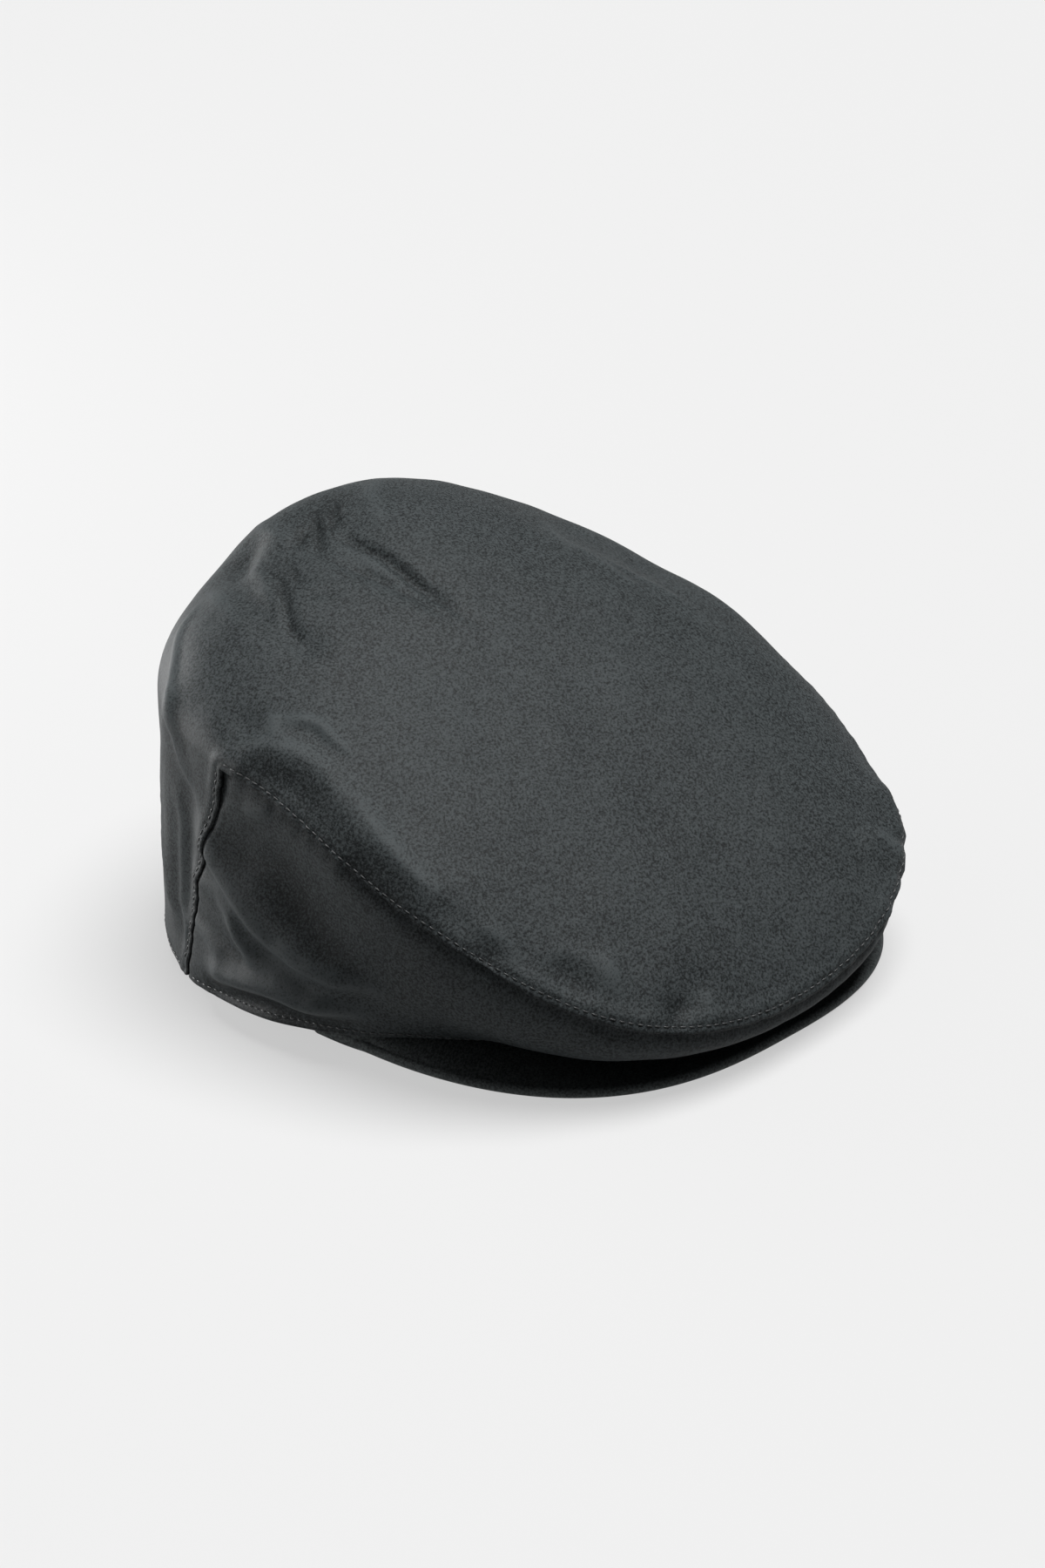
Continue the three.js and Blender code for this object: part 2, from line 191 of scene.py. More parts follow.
def curve(t, a, b, c, d):
    """A point of the cubic curve from a to d that leaves towards b and arrives from c."""
    s = 1 - t
    return s**3 * a + 3 * s**2 * t * b + 3 * s * t**2 * c + t**3 * d


def smooth_crown(angle, way):
    """The crown before its folds: one curve from rim to seam and one from seam to the middle of the top."""
    angle, way = np.broadcast_arrays(np.asarray(angle, float), np.asarray(way, float))
    rim_x, rim_z = rim_reach(angle), rim_height(angle)
    seam_x, seam_z = seam_reach(angle), CROWN_HEIGHT * around("seam", angle)
    spread = TOP_SPREAD * seam_x
    t = np.minimum(way, 1)
    wall_x = curve(t, rim_x, lerp(rim_x, seam_x, around("flare", angle)), seam_x, seam_x)
    foot_z = lerp(rim_z, seam_z, around("foot", angle))
    shoulder_z = lerp(seam_z, rim_z, around("shoulder", angle))
    wall_z = curve(t, rim_z, foot_z, shoulder_z, seam_z)
    t = np.maximum(way - 1, 0)
    top_x = curve(t, seam_x, seam_x, spread, 0)
    slope_z = CROWN_HEIGHT - TOP_SLOPE * np.cos(np.radians(angle)) * spread
    top_z = curve(t, seam_z, seam_z + CROWN_HEIGHT * around("rise", angle), slope_z, CROWN_HEIGHT)
    on_wall = way < 1
    return place_round_head(angle, np.where(on_wall, wall_x, top_x), np.where(on_wall, wall_z, top_z))


def unit(vectors):
    return vectors / np.maximum(np.linalg.norm(vectors, axis=-1, keepdims=True), 1e-12)


def outward(angle, way):
    """The outward direction of the smooth crown."""
    at = np.clip(way, 0.01, 1.98)
    round_head = smooth_crown(angle + 1, at) - smooth_crown(angle - 1, at)
    up = smooth_crown(angle, at + 0.01) - smooth_crown(angle, at - 0.01)
    return unit(np.cross(up, round_head))


def climb(angle, way, step=0.01):
    """How far the surface goes for each unit of the way up, at a place."""
    there, here = smooth_crown(angle, way + step), smooth_crown(angle, way)
    return np.linalg.norm(there - here, axis=-1) / abs(step)


def above_seam(angle, metres):
    """The way up of a place that far above the seam, or below it where metres is under 0."""
    step = np.where(np.asarray(metres) >= 0, 0.02, -0.02)
    there, here = smooth_crown(angle, 1 + step), smooth_crown(angle, np.ones_like(step))
    return 1 + metres / (np.linalg.norm(there - here, axis=-1) / 0.02)


def ear_seam_angle(way):
    return lerp(EAR_SEAM_FOOT, EAR_SEAM_TOP, np.minimum(way, 1))


def path_points(stops, step):
    """Evenly spaced points on the smooth crown, on straight lines of angle and way through the stops."""
    stops = np.array(stops, float)
    shares = np.linspace(0, len(stops) - 1, 60 * (len(stops) - 1))
    angles = np.interp(shares, range(len(stops)), stops[:, 0])
    ways = np.interp(shares, range(len(stops)), stops[:, 1])
    points = smooth_crown(angles, ways)
    run = np.concatenate([[0], np.cumsum(np.linalg.norm(np.diff(points, axis=0), axis=1))])
    even = np.linspace(0, run[-1], max(int(run[-1] / step), 2))
    return np.stack([np.interp(even, run, points[:, axis]) for axis in range(3)], axis=-1)


FOLD_LINES = [(path_points(stops, CREASE_STEP), high / 1000, wide / 1000) for _, high, wide, stops in FOLDS]
CREASE_LINES = [(path_points(stops, CREASE_STEP), high / 1000, wide / 1000) for _, high, wide, stops in FINE_CREASES]


def push_of(lines, points, fading):
    """How far lines of folds push each point outward. A fading line thins out towards its two ends."""
    push = np.zeros(len(points))
    for line, high, wide in lines:
        low, top = line.min(axis=0) - 3 * wide, line.max(axis=0) + 3 * wide
        near = np.nonzero(np.all((points > low) & (points < top), axis=1))[0]
        if len(near) == 0:
            continue
        away = np.linalg.norm(points[near, None] - line[None], axis=2)
        nearest = away.argmin(axis=1)
        share = nearest / (len(line) - 1)
        fade = np.sin(np.pi * np.clip(share, 0.02, 0.98)) ** 0.6 if fading else 1
        push[near] += high * fade * np.exp(-((away.min(axis=1) / wide) ** 2))
    return push


# The whole seam as one line: up one ear seam, forward round the front, and down the other
EAR_WAYS = np.linspace(0, 1, 200)
FRONT_ANGLES = np.linspace(-EAR_SEAM_TOP, EAR_SEAM_TOP, 900)
SEAM_LINE = np.concatenate(
    [
        smooth_crown(-ear_seam_angle(EAR_WAYS), EAR_WAYS),
        smooth_crown(FRONT_ANGLES, np.ones(900)),
        smooth_crown(ear_seam_angle(EAR_WAYS[::-1]), EAR_WAYS[::-1]),
    ]
)
SEAM_RUN = np.concatenate([[0], np.cumsum(np.linalg.norm(np.diff(SEAM_LINE, axis=0), axis=1))])
SEAM_TREE = kdtree.KDTree(len(SEAM_LINE))
for index, point in enumerate(SEAM_LINE):
    SEAM_TREE.insert(point, index)
SEAM_TREE.balance()


def from_seam(points):
    """For each point, how far it is from the seam and how far along the seam that is."""
    found = [SEAM_TREE.find(point) for point in points]
    return np.array([hit[2] for hit in found]), SEAM_RUN[[hit[1] for hit in found]]


def rolled(distance, radius):
    """How far a rounded edge falls back from the face, at a distance from the edge."""
    inside = np.clip(1 - distance / radius, 0, 1)
    return radius * (1 - np.sqrt(np.maximum(1 - inside**2, 0)))


def cloth_swell(points):
    """The slight unevenness of soft cloth, over hands' breadths and over finger widths."""
    return np.array(
        [0.00045 * noise.noise(Vector(p) * 32) + 0.0003 * noise.noise(Vector(p) * 80) for p in points]
    )


def pucker(gap, run):
    """Small puckers that the topstitching draws along the seam."""
    waves = np.sin(run / 0.0011 + 2.2 * np.sin(run / 0.013)) + 0.6 * np.sin(run / 0.0019 + 1)
    return 0.00017 * waves * np.exp(-((gap / 0.0055) ** 2))


LAP_RISE = 0.0008
LAP_DROP = 0.001
LAP_WIDTH = 0.0055
STITCH_INSET = 0.0021
HEM_INSET = 0.0022
EDGE_ROLL = 0.0007


def front_share(run):
    """1 along the seam round the front, and 0 along the two upright ear seams, which lie flatter."""
    from_foot = np.minimum(run, SEAM_RUN[-1] - run)
    return np.clip(1 + (from_foot - SEAM_RUN[len(EAR_WAYS)]) / 0.006, 0, 1)


def hem_shape(angle, way):
    """The turned-under hem at the rim: a rounded edge, and the line that its stitches pull in."""
    height = np.maximum(way, 0) * climb(angle, np.zeros_like(way) + 0.01)
    groove = 0.00022 * np.exp(-(((height - HEM_INSET) / 0.0008) ** 2))
    return -rolled(height, 0.0011) - groove


def panel_shape(angle, way):
    """The outer face of the top panel, its outward direction, and how thick it is and how creased there."""
    smooth, direction = smooth_crown(angle, way), outward(angle, way)
    gap, run = from_seam(smooth)
    folds, creases = push_of(FOLD_LINES, smooth, False), push_of(CREASE_LINES, smooth, True)
    flatter = 1 - front_share(run)
    lap = LAP_RISE * (1 - 0.6 * flatter) / (1 + np.exp((gap - LAP_WIDTH) / 0.0006)) - rolled(gap, EDGE_ROLL)
    groove = 0.00025 * np.exp(-(((gap - STITCH_INSET) / 0.0008) ** 2))
    push = folds + creases + cloth_swell(smooth) + lap - groove + pucker(gap, run) + hem_shape(angle, way)
    thick = CLOTH - (0.0008 + 0.0005 * flatter) * np.exp(-((gap / 0.003) ** 2))
    return smooth + direction * push[:, None], direction, thick, creases, gap


def settle(points):
    """Into the cap's own frame, with soft cloth flattened where it rests."""
    placed = points + HEAD_MIDDLE
    placed[:, 2] = np.maximum(placed[:, 2], 0)
    return placed


def weave_rows(lower, upper):
    """The cells between two rows of places, the second row above the first, as corners in order."""
    lower, upper = np.asarray(lower), np.asarray(upper)
    return np.stack([lower[:-1], upper[:-1], upper[1:], lower[1:]], axis=1).tolist()


def closed_cloth(name, outer, inner, cells, marks, flat):
    """A closed piece of cloth between two faces with the same cells. flat is its unrolled cut, in metres."""
    count = len(outer)
    faces = [list(cell) for cell in cells] + [[count + i for i in reversed(cell)] for cell in cells]
    sides = {}
    for cell in cells:
        for a, b in zip(cell, [*cell[1:], cell[0]]):
            if sides.pop((b, a), None) is None:
                sides[(a, b)] = True
    faces += [[b, a, count + a, count + b] for a, b in sides]
    mesh = bpy.data.meshes.new(name)
    mesh.from_pydata(np.concatenate([outer, inner]).tolist(), [], faces)
    mesh.update()
    for title, values in marks.items():
        layer = mesh.attributes.new(title, "FLOAT", "POINT")
        layer.data.foreach_set("value", np.concatenate([values, np.zeros(count)]).astype(np.float32))
    corners = np.zeros(len(mesh.loops), dtype=np.int32)
    mesh.loops.foreach_get("vertex_index", corners)
    cut = np.concatenate([flat, flat])[corners]
    mesh.uv_layers.new(name="cloth").data.foreach_set("uv", cut.astype(np.float32).ravel())
    mesh.shade_smooth()
    piece = bpy.data.objects.new(name, mesh)
    bpy.context.scene.collection.objects.link(piece)
    return piece


# Rows and columns are close together by an edge, and even further in
EDGE_STEPS = np.array([0, 0.08, 0.2, 0.4, 0.7, 1.1, 1.5, 2.0, 2.5, 3.1, 3.9, 5.0, 6.2, 7.4]) / 1000
BACK_COLUMNS, FRONT_COLUMNS, TOP_ROWS, BACK_ROWS = 128, 240, 88, 44
HEM_STEPS = np.array([0, 0.15, 0.4, 0.8, 1.3, 1.9, 2.6, 3.4]) / 1000


def back_angles(way):
    """Columns of the back of the top panel, from one ear seam round to the other, at each way up."""
    ear = ear_seam_angle(way)
    edge = np.degrees(EDGE_STEPS / rim_reach(ear))
    middle = np.linspace(ear + edge[-1], 360 - ear - edge[-1], BACK_COLUMNS)
    return np.concatenate([ear + edge[:-1], middle, (360 - ear - edge[:-1])[::-1]])


panel_angles, panel_ways, panel_cells = [], [], []


def panel_row(angles, ways):
    first = len(panel_angles)
    panel_angles.extend(angles)
    panel_ways.extend(np.broadcast_to(ways, np.shape(angles)))
    return list(range(first, len(panel_angles)))


front_angles = np.linspace(-EAR_SEAM_TOP, EAR_SEAM_TOP, FRONT_COLUMNS)[1:-1]
ring = np.concatenate([back_angles(1.0), front_angles])
edge_ways = np.stack([above_seam(ring, np.full(len(ring), step)) for step in EDGE_STEPS])
seam_row = panel_row(ring, edge_ways[0])
below = [*seam_row, seam_row[0]]
for ways in edge_ways[1:]:
    row = panel_row(ring, ways)
    row.append(row[0])
    panel_cells += weave_rows(below, row)
    below = row
for share in np.linspace(0, 1, TOP_ROWS + 1)[1:-1]:
    row = panel_row(ring, lerp(edge_ways[-1], 2, share))
    row.append(row[0])
    panel_cells += weave_rows(below, row)
    below = row
middle = panel_row([0.0], 2.0)[0]
panel_cells += [[below[i], middle, below[i + 1]] for i in range(len(ring))]
above = seam_row[: len(back_angles(1.0))]
hem_ways = HEM_STEPS / climb(np.array([180.0]), np.array([0.01]))[0]
wall_ways = np.concatenate([np.linspace(1, hem_ways[-1], BACK_ROWS)[1:], hem_ways[-2::-1]])
for way in wall_ways:
    row = panel_row(back_angles(way), way)
    panel_cells += weave_rows(row, above)
    above = row
panel_angles, panel_ways = np.array(panel_angles), np.array(panel_ways)


def unrolled(angle, way, steps=24):
    """The flat cut of the panel: each place as far from the middle of the top as it is over the cloth."""
    shares = np.linspace(0, 1, steps)[:, None]
    line = smooth_crown(angle[None], lerp(way[None], 2, shares))
    run = np.linalg.norm(np.diff(line, axis=0), axis=2).sum(axis=0)
    radians = np.radians(angle)
    return np.stack([-run * np.sin(radians), -run * np.cos(radians)], axis=1)


outer, direction, thick, creased, gap = panel_shape(panel_angles, panel_ways)
top_panel = closed_cloth(
    "top_panel_cloth",
    settle(outer),
    settle(outer - direction * thick[:, None]),
    panel_cells,
    {"crease": creased * 1000, "seam": gap * 1000},
    unrolled(panel_angles, panel_ways),
)


class Shade:
    """A value in a material, on which sums are written as Python writes them."""

    def __init__(self, socket):
        self.socket = socket

    @staticmethod
    def node(tree, kind, settings, inputs, output=0):
        """A new node's output. Settings are set first, then its sockets get values or links."""
        made = tree.nodes.new(kind)
        for name, value in settings.items():
            if name == "stops":
                for stop, (at, colour) in zip(made.color_ramp.elements, value):
                    stop.position, stop.color = at, (*colour, 1)
            else:
                setattr(made, name, value)
        for name, value in inputs.items():
            if isinstance(value, Shade):
                tree.links.new(value.socket, made.inputs[name])
            else:
                made.inputs[name].default_value = value
        return Shade(made.outputs[output])

    def sum(self, operation, *values):
        return Shade.node(
            self.socket.id_data, "ShaderNodeMath", {"operation": operation}, dict(enumerate(values))
        )

    def __add__(self, other):
        return self.sum("ADD", self, other)

    def __sub__(self, other):
        return self.sum("SUBTRACT", self, other)

    def __rsub__(self, other):
        return self.sum("SUBTRACT", other, self)

    def __mul__(self, other):
        return self.sum("MULTIPLY", self, other)

    __radd__ = __add__
    __rmul__ = __mul__

    def sine(self):
        return self.sum("SINE", self)



def noise_of(tree, place, grain, detail=2.0, rough=0.5):
    """Noise from 0 to 1 whose patches are about that many metres across."""
    inputs = {"Vector": place, "Scale": 1 / grain, "Detail": detail, "Roughness": rough}
    return Shade.node(tree, "ShaderNodeTexNoise", {}, inputs, "Fac")


YARN = 0.00052
THREADS_ROUND = 2 * math.pi / YARN


def waxed_cotton(name, deep, worn_and_lit, roughness):
    """Closely woven cotton, dressed with wax, with a fine grain, a mottle and faint pale specks. Its colour has
    painted light in it: lighter on the outward folds (painted highlight), darker in the grooves of creases and along
    the seams (painted shade).
    """
    material = bpy.data.materials.new(name)
    material.use_nodes = True
    tree = material.node_tree
    tree.nodes.clear()
    place = Shade.node(tree, "ShaderNodeTexCoord", {}, {}, "Object")
    cut = Shade.node(tree, "ShaderNodeUVMap", {"uv_map": "cloth"}, {}, "UV")
    across = Shade.node(tree, "ShaderNodeSeparateXYZ", {}, {"Vector": cut}, "X")
    along = Shade.node(tree, "ShaderNodeSeparateXYZ", {}, {"Vector": cut}, "Y")
    weave = (across * THREADS_ROUND).sine() * (along * THREADS_ROUND).sine()
    crease = Shade.node(tree, "ShaderNodeAttribute", {"attribute_name": "crease"}, {}, "Fac")
    seam = Shade.node(tree, "ShaderNodeAttribute", {"attribute_name": "seam"}, {}, "Fac")
    grain = noise_of(tree, place, 0.0008, 3.0, 0.75)
    speck = Shade.node(
        tree, "ShaderNodeMapRange", {}, {"Value": noise_of(tree, place, 0.0011, 1.0), 1: 0.7, 2: 0.8}, 0
    )
    mottle = noise_of(tree, place, 0.028, 3.0, 0.55)
    fibre = noise_of(tree, place, 0.0045, 4.0, 0.6)
    # Painted shadow: the cloth is darkened within about 1.3 mm of the seam, where the lapped edge of the top panel
    # casts its shade
    painted_seam_shadow = 1 - Shade.node(
        tree, "ShaderNodeMapRange", {"interpolation_type": "SMOOTHSTEP"}, {"Value": seam, 2: 1.3}, 0
    )
    # Painted highlight on the outward folds and painted shade in the grooves of the creases
    ridge = Shade.node(tree, "ShaderNodeMapRange", {}, {"Value": crease, 1: 0.1, 2: 0.8}, 0)
    groove = Shade.node(tree, "ShaderNodeMapRange", {}, {"Value": crease, 1: -0.1, 2: -1.2}, 0)
    # The cloth's own tone (mottle, fibre, grain, specks) mixed with painted light and shade (ridge, groove, seam)
    wear_and_painted_light = 0.5 * mottle + 0.5 * fibre + 5.2 * grain + 1.6 * speck + 0.45 * ridge - 0.3 * groove - 0.5 * painted_seam_shadow - 2.55
    colour = Shade.node(
        tree,
        "ShaderNodeMix",
        {"data_type": "RGBA", "clamp_factor": True},
        {"Factor": wear_and_painted_light, 6: (*deep, 1), 7: (*worn_and_lit, 1)},
        2,
    )
    height = 0.00009 * grain + 0.00016 * fibre + 0.00002 * weave
    normal = Shade.node(tree, "ShaderNodeBump", {}, {"Height": height, "Strength": 1.0, "Distance": 1.0})
    shine = Shade.node(
        tree,
        "ShaderNodeBsdfPrincipled",
        {},
        {
            "Base Color": colour,
            "Roughness": roughness + 0.16 * (mottle - 0.5) + 0.1 * (grain - 0.5),
            "Normal": normal,
            "IOR": 1.45,
            "Specular IOR Level": 0.12,
        },
    )
    tree.links.new(shine.socket, tree.nodes.new("ShaderNodeOutputMaterial").inputs["Surface"])
    return material


crown_cotton = waxed_cotton("waxed_cotton", (0.0045, 0.0055, 0.0058), (0.029, 0.0337, 0.0351), 0.6)
top_panel.data.materials.append(crown_cotton)
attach(top_panel, "root")
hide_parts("top_panel")

# The side band: one strip of the same cloth, from one ear seam round the front to the other, tall at the ears
# and narrow over the peak. Its lower edge is turned under into a hem, and its other edges are tucked under
# the top panel.
TUCKED = 0.004
BAND_COLUMNS, BAND_ROWS = 250, 54


def band_shape(angle, way, hidden):
    """The outer face of the band, its outward direction, thickness, creases and distance from the seam."""
    smooth, direction = smooth_crown(angle, way), outward(angle, way)
    gap, run = from_seam(smooth)
    gap = np.where(hidden, 0, gap)
    folds, creases = push_of(FOLD_LINES, smooth, False), push_of(CREASE_LINES, smooth, True)
    front = front_share(run)
    drop = LAP_DROP * lerp(0.6, 1.0, front) * np.exp(-((gap / lerp(0.0011, 0.003, front)) ** 2))
    push = folds + creases + cloth_swell(smooth) - drop + 0.7 * pucker(gap, run) + hem_shape(angle, way)
    thick = CLOTH - 0.0008 * np.exp(-((gap / 0.003) ** 2))
    return smooth + direction * push[:, None], direction, thick, creases, gap


band_angles, band_ways, band_hidden, band_cells = [], [], [], []
tucks = np.linspace(TUCKED, 0, 4)[:-1]
side_steps = np.concatenate([-tucks, EDGE_STEPS])
below = None
row_keys = [("hem", step) for step in HEM_STEPS]
row_keys += [("middle", share) for share in np.linspace(0, 1, BAND_ROWS)[1:-1]]
row_keys += [("edge", step) for step in EDGE_STEPS[::-1][6:]] + [("tuck", step) for step in tucks[::-1]]


def band_way(kind, value, angle):
    """The way up of one row of the band at each angle."""
    low = HEM_STEPS[-1] / climb(angle, np.full_like(angle, 0.01))
    high = above_seam(angle, np.full_like(angle, -EDGE_STEPS[7]))
    if kind == "hem":
        return value / HEM_STEPS[-1] * low
    if kind == "middle":
        return lerp(low, high, value)
    return above_seam(angle, np.full_like(angle, value if kind == "tuck" else -value))


for kind, value in row_keys:
    rough_angle = np.linspace(-EAR_SEAM_FOOT, EAR_SEAM_FOOT, 200)
    ear_way = float(np.interp(EAR_SEAM_TOP, rough_angle, band_way(kind, value, rough_angle)))
    ear = ear_seam_angle(np.clip(ear_way, 0, 1))
    edge = np.degrees(side_steps / rim_reach(ear))
    even = np.linspace(edge[-1] - ear, ear - edge[-1], BAND_COLUMNS)
    angles = np.concatenate([edge[:-1] - ear, even, (ear - edge[:-1])[::-1]])
    ways = band_way(kind, value, angles)
    first = len(band_angles)
    band_angles.extend(angles)
    band_ways.extend(ways)
    band_hidden.extend((np.abs(angles) > ear + 1e-6) | (ways > 1 + 1e-6))
    row = list(range(first, len(band_angles)))
    if below:
        band_cells += weave_rows(below, row)
    below = row
band_angles, band_ways = np.array(band_angles), np.array(band_ways)
outer, direction, thick, creased, gap = band_shape(band_angles, band_ways, np.array(band_hidden))
across = np.radians(band_angles) * 0.12
up = band_ways * climb(band_angles, np.full_like(band_ways, 0.5))
side_band = closed_cloth(
    "side_band_cloth",
    settle(outer),
    settle(outer - direction * thick[:, None]),
    band_cells,
    {"crease": creased * 1000, "seam": gap * 1000},
    np.stack([across, up], axis=1),
)
side_band.data.materials.append(crown_cotton)
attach(side_band, "root")
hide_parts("side_band")

# The stitching: rows of waxed thread, one just inside the lapped edge of the top panel, all along the seam and
# down behind each ear, and one just above the rim, which holds the hem. Each stitch dips into the cloth.
STITCH_LENGTH = 0.0029
STITCH_GAP = 0.0006
THREAD = 0.00021
STITCH_SIDES = 6
stitch_points, stitch_faces = [], []


def panel_face(angle, way):
    outer, direction, *_ = panel_shape(angle, way)
    return outer, direction


def band_face(angle, way):
    outer, direction, *_ = band_shape(angle, way, np.zeros(len(angle), bool))
    return outer, direction


def sew(face, angles, ways):
    """A row of stitches along a line on one face of the crown."""
    points, normals = face(angles, ways)
    run = np.concatenate([[0], np.cumsum(np.linalg.norm(np.diff(points, axis=0), axis=1))])
    for start in np.arange(STITCH_GAP, run[-1] - STITCH_LENGTH, STITCH_LENGTH):
        at = start + np.linspace(0, STITCH_LENGTH - STITCH_GAP, 6)
        lie = np.array([-1.0, 0.35, 0.8, 0.8, 0.35, -1.0]) * THREAD
        middle = np.stack([np.interp(at, run, points[:, k]) for k in range(3)], axis=1)
        normal = unit(np.stack([np.interp(at, run, normals[:, k]) for k in range(3)], axis=1))
        tangent = unit(np.gradient(middle, axis=0))
        side = unit(np.cross(tangent, normal))
        middle = middle + normal * lie[:, None]
        first = len(stitch_points)
        slim = np.array([0.6, 1, 1, 1, 1, 0.6]) * THREAD
        for k in range(6):
            for turn in np.arange(STITCH_SIDES) * 2 * math.pi / STITCH_SIDES:
                ring_point = side[k] * math.cos(turn) + normal[k] * math.sin(turn)
                stitch_points.append(middle[k] + ring_point * slim[k])
        for k in range(5):
            for corner in range(STITCH_SIDES):
                a, b = first + k * STITCH_SIDES + corner, first + k * STITCH_SIDES + (corner + 1) % STITCH_SIDES
                stitch_faces.append([a, b, b + STITCH_SIDES, a + STITCH_SIDES])
        stitch_faces.append([first + i for i in reversed(range(STITCH_SIDES))])
        stitch_faces.append([first + 5 * STITCH_SIDES + i for i in range(STITCH_SIDES)])


seam_angles = np.linspace(-EAR_SEAM_TOP, EAR_SEAM_TOP, 700)
sew(panel_face, seam_angles, above_seam(seam_angles, np.full(700, STITCH_INSET)))
for side in (1, -1):
    ways = np.linspace(0.99, 0.04, 200)
    ears = ear_seam_angle(ways) + np.degrees(STITCH_INSET / rim_reach(ear_seam_angle(ways)))
    sew(panel_face, side * ears, ways)
hem_angles = np.linspace(-EAR_SEAM_FOOT + 1, EAR_SEAM_FOOT - 1, 700)
sew(band_face, hem_angles, HEM_INSET / climb(hem_angles, np.full(700, 0.01)))
hem_angles = np.linspace(EAR_SEAM_FOOT + 3, 357 - EAR_SEAM_FOOT, 500)
sew(panel_face, hem_angles, HEM_INSET / climb(hem_angles, np.full(500, 0.01)))

mesh = bpy.data.meshes.new("stitching")
mesh.from_pydata((np.array(stitch_points) + HEAD_MIDDLE).tolist(), [], stitch_faces)
mesh.shade_smooth()
stitching = bpy.data.objects.new("stitching", mesh)
bpy.context.scene.collection.objects.link(stitching)
thread = bpy.data.materials.new("waxed_thread")
thread.use_nodes = True
tree = thread.node_tree
shine = tree.nodes["Principled BSDF"]
place = Shade.node(tree, "ShaderNodeTexCoord", {}, {}, "Object")
twist = noise_of(tree, place, 0.0006, 2.0)
colour = Shade.node(
    tree,
    "ShaderNodeMix",
    {"data_type": "RGBA"},
    {"Factor": twist, 6: (0.004, 0.0048, 0.005, 1), 7: (0.014, 0.0161, 0.0167, 1)},
    2,
)
tree.links.new(colour.socket, shine.inputs["Base Color"])
shine.inputs["Roughness"].default_value = 0.5
stitching.data.materials.append(thread)
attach(stitching, "root")

# The peak: a stiff crescent covered with the same cloth, sewn to the rim from temple to temple. It slopes down
# to the surface in front, and its covered edge is rounded. Its seam allowance is turned up inside the band.
PEAK_THICKNESS, PEAK_FRONT, PEAK_ROOT_ANGLE, PEAK_END_WIDTH = 0.0035, 0.1195, 76, 0.006
PEAK_SQUARENESS, PEAK_SKEW, SEAM_GAP = 0.74, 0.07, 0.0003
PEAK_COLUMNS, PEAK_FACE_ROWS, PEAK_EDGE_ROWS = 181, 22, 10
ALLOWANCE_HEIGHT, ALLOWANCE_THICKNESS = 0.004, 0.0009
FREE_OF_SEAMS = 10.0


def peak_root(angle, inward=0.0, higher=0.0):
    """The line at which the peak meets the rim, or one beside it that the seam allowance follows."""
    return place_round_head(angle, rim_reach(angle) - CLOTH - inward, rim_height(angle) - SEAM_GAP + higher)


share = np.linspace(-1, 1, PEAK_COLUMNS)
root_end = peak_root(np.array([PEAK_ROOT_ANGLE]))[0]
turn = np.abs(share) * math.pi / 2
side = np.sign(share) * root_end[0] * np.sin(turn) ** PEAK_SQUARENESS
forward_share = np.maximum(np.cos(turn), 0) ** PEAK_SQUARENESS
forward = lerp(-root_end[1] - PEAK_END_WIDTH, PEAK_FRONT, forward_share) + PEAK_SKEW * side
edge_height = lerp(root_end[2], PEAK_THICKNESS - REST_SINK / 2, forward_share)
edge = np.stack([side, -forward, edge_height], axis=1)
root = peak_root(share * PEAK_ROOT_ANGLE)
way_out = unit((edge - root) * np.array([1, 1, 0]))
half = PEAK_THICKNESS / 2
root_angles = share * PEAK_ROOT_ANGLE
allowance_inward = SEAM_GAP + ALLOWANCE_THICKNESS
rows = [
    peak_root(root_angles, allowance_inward, ALLOWANCE_HEIGHT),
    peak_root(root_angles, SEAM_GAP, ALLOWANCE_HEIGHT),
    peak_root(root_angles, SEAM_GAP),
]
for depth in np.linspace(0, 1, PEAK_FACE_ROWS):
    rows.append(lerp(root, edge - way_out * half, depth))
for bend in np.linspace(0, math.pi, PEAK_EDGE_ROWS)[1:-1]:
    roll = edge - way_out * half + way_out * half * math.sin(bend)
    rows.append(roll + np.array([0, 0, half * (math.cos(bend) - 1)]))
for depth in np.linspace(1, 0, PEAK_FACE_ROWS):
    rows.append(lerp(root, edge - way_out * half, depth) - np.array([0, 0, PEAK_THICKNESS]))
rows.append(peak_root(root_angles, allowance_inward) - np.array([0, 0, half]))
points = settle(np.concatenate(rows))
grid = np.arange(len(points)).reshape(len(rows), PEAK_COLUMNS)
faces = []
for k in range(len(rows)):
    below, above = grid[k], grid[(k + 1) % len(rows)]
    faces += weave_rows(above, below)
faces.append(grid[:, 0].tolist())
faces.append(grid[::-1, -1].tolist())
mesh = bpy.data.meshes.new("peak_cover")
mesh.from_pydata(points.tolist(), [], faces)
mesh.shade_smooth()
# The peak is given a large distance from any seam, so the painted seam shadow does not darken it
mesh.attributes.new("seam", "FLOAT", "POINT").data.foreach_set("value", np.full(len(points), FREE_OF_SEAMS))
corners = np.zeros(len(mesh.loops), dtype=np.int32)
mesh.loops.foreach_get("vertex_index", corners)
mesh.uv_layers.new(name="cloth").data.foreach_set("uv", points[corners][:, :2].astype(np.float32).ravel())
peak = bpy.data.objects.new("peak_cover", mesh)
bpy.context.scene.collection.objects.link(peak)
# The peak's cloth gets paler colours than the crown's: painted light that lifts the peak out of the shade under the
# crown
peak.data.materials.append(waxed_cotton("peak_cotton_painted_lighter", (0.016, 0.018, 0.0183), (0.052, 0.059, 0.0596), 0.55))
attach(peak, "root")
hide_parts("peak")

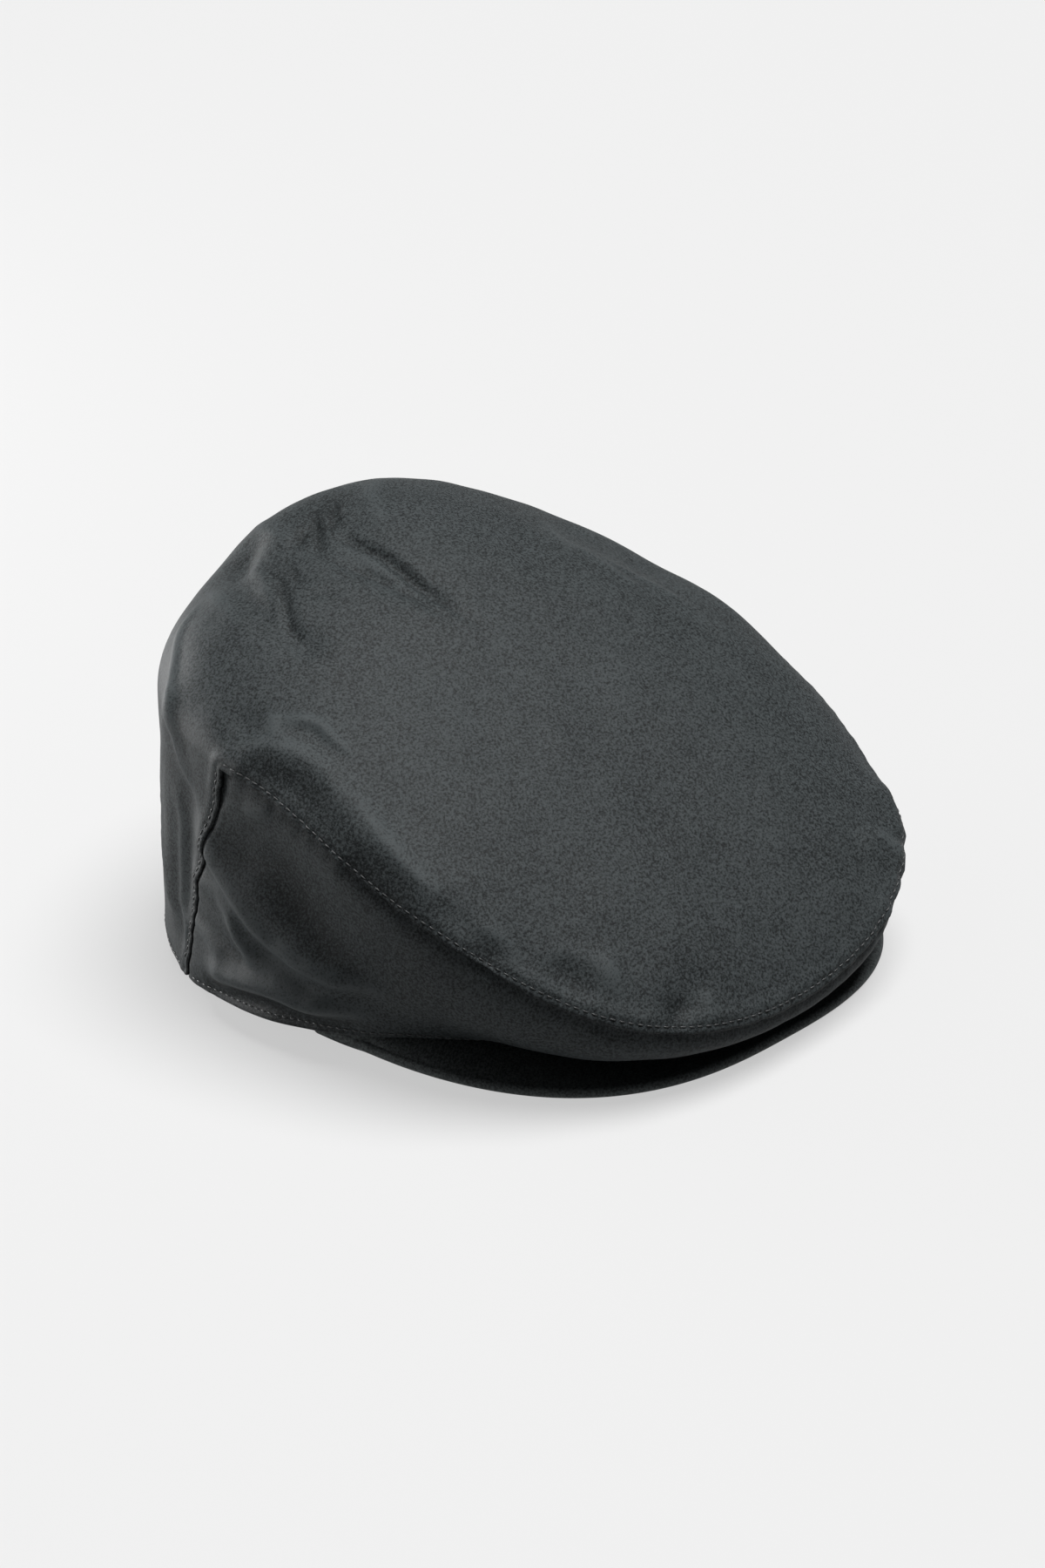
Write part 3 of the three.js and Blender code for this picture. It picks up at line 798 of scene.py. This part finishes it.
# The pale ground that the cap lies on, the soft light of a studio, and the camera
mesh = bpy.data.meshes.new("ground")
reach = 6.0
mesh.from_pydata([(-reach, -reach, 0), (reach, -reach, 0), (reach, reach, 0), (-reach, reach, 0)], [], [(0, 1, 2, 3)])
ground = bpy.data.objects.new("ground", mesh)
ground.location.z = -0.00005
bpy.context.scene.collection.objects.link(ground)
pale = bpy.data.materials.new("pale_ground")
pale.use_nodes = True
pale.node_tree.nodes["Principled BSDF"].inputs["Base Color"].default_value = (0.13, 0.13, 0.13, 1)
pale.node_tree.nodes["Principled BSDF"].inputs["Emission Color"].default_value = (1.0, 1.0, 1.0, 1)
pale.node_tree.nodes["Principled BSDF"].inputs["Emission Strength"].default_value = 0.54
pale.node_tree.nodes["Principled BSDF"].inputs["Roughness"].default_value = 1.0
pale.node_tree.nodes["Principled BSDF"].inputs["Specular IOR Level"].default_value = 0.0
ground.data.materials.append(pale)

scene = bpy.context.scene
scene.view_settings.view_transform = "Standard"
scene.view_settings.look = "None"
world = bpy.data.worlds.new("studio")
world.use_nodes = True
tree = world.node_tree
facing = Shade.node(tree, "ShaderNodeTexCoord", {}, {}, "Generated")
far_side = Shade.node(
    tree, "ShaderNodeVectorMath", {"operation": "DOT_PRODUCT"}, {0: facing, 1: (-0.3, 0.9, 0.0)}, "Value"
)
glow = Shade.node(
    tree, "ShaderNodeMapRange", {"interpolation_type": "SMOOTHSTEP"}, {"Value": far_side, 1: -0.2, 2: 0.9, 3: 0.04, 4: 0.32}, 0
)
tree.links.new(glow.socket, tree.nodes["Background"].inputs["Strength"])
tree.nodes["Background"].inputs["Color"].default_value = (1.0, 1.0, 1.0, 1)
scene.world = world
softbox = bpy.data.lights.new("softbox", "SUN")
softbox.energy = 7.8
softbox.angle = math.radians(38)
softbox_stand = bpy.data.objects.new("softbox", softbox)
softbox_stand.rotation_euler = Vector((0.22, -0.08, 1.0)).to_track_quat("Z", "Y").to_euler()
scene.collection.objects.link(softbox_stand)
side_light = bpy.data.lights.new("side_light", "AREA")
side_light.shape = "RECTANGLE"
side_light.size = 0.5
side_light.size_y = 0.09
side_light.energy = 5.5
side_stand = bpy.data.objects.new("side_light", side_light)
side_stand.location = (-0.15, 0.62, 0.05)
side_stand.rotation_euler = Vector((-0.1, 0.56, 0.0)).to_track_quat("Z", "Y").to_euler()
scene.collection.objects.link(side_stand)

AIM = Vector((-0.000307, 0.013579, 0.050))
AZIMUTH, ELEVATION, ROLL = math.radians(-49.5), math.radians(28.5), math.radians(0.9)
DISTANCE = 2.5
right = Vector((math.cos(AZIMUTH), math.sin(AZIMUTH), 0))
back = Vector((math.sin(AZIMUTH) * math.cos(ELEVATION), -math.cos(AZIMUTH) * math.cos(ELEVATION), math.sin(ELEVATION)))
above = back.cross(right)
right, above = (
    right * math.cos(ROLL) - above * math.sin(ROLL),
    right * math.sin(ROLL) + above * math.cos(ROLL),
)
eye = AIM + back * DISTANCE
back = (eye - (AIM + right * 0.01318 - above * 0.00347)).normalized()
right = above.cross(back).normalized()
above = back.cross(right)
camera = bpy.data.cameras.new("camera")
camera.lens = 188.9
camera.sensor_width = 36
camera.clip_start, camera.clip_end = 0.1, 50
camera_stand = bpy.data.objects.new("camera", camera)
camera_stand.matrix_world = Matrix.Translation(eye) @ Matrix((right, above, back)).transposed().to_4x4()
scene.collection.objects.link(camera_stand)
scene.camera = camera_stand
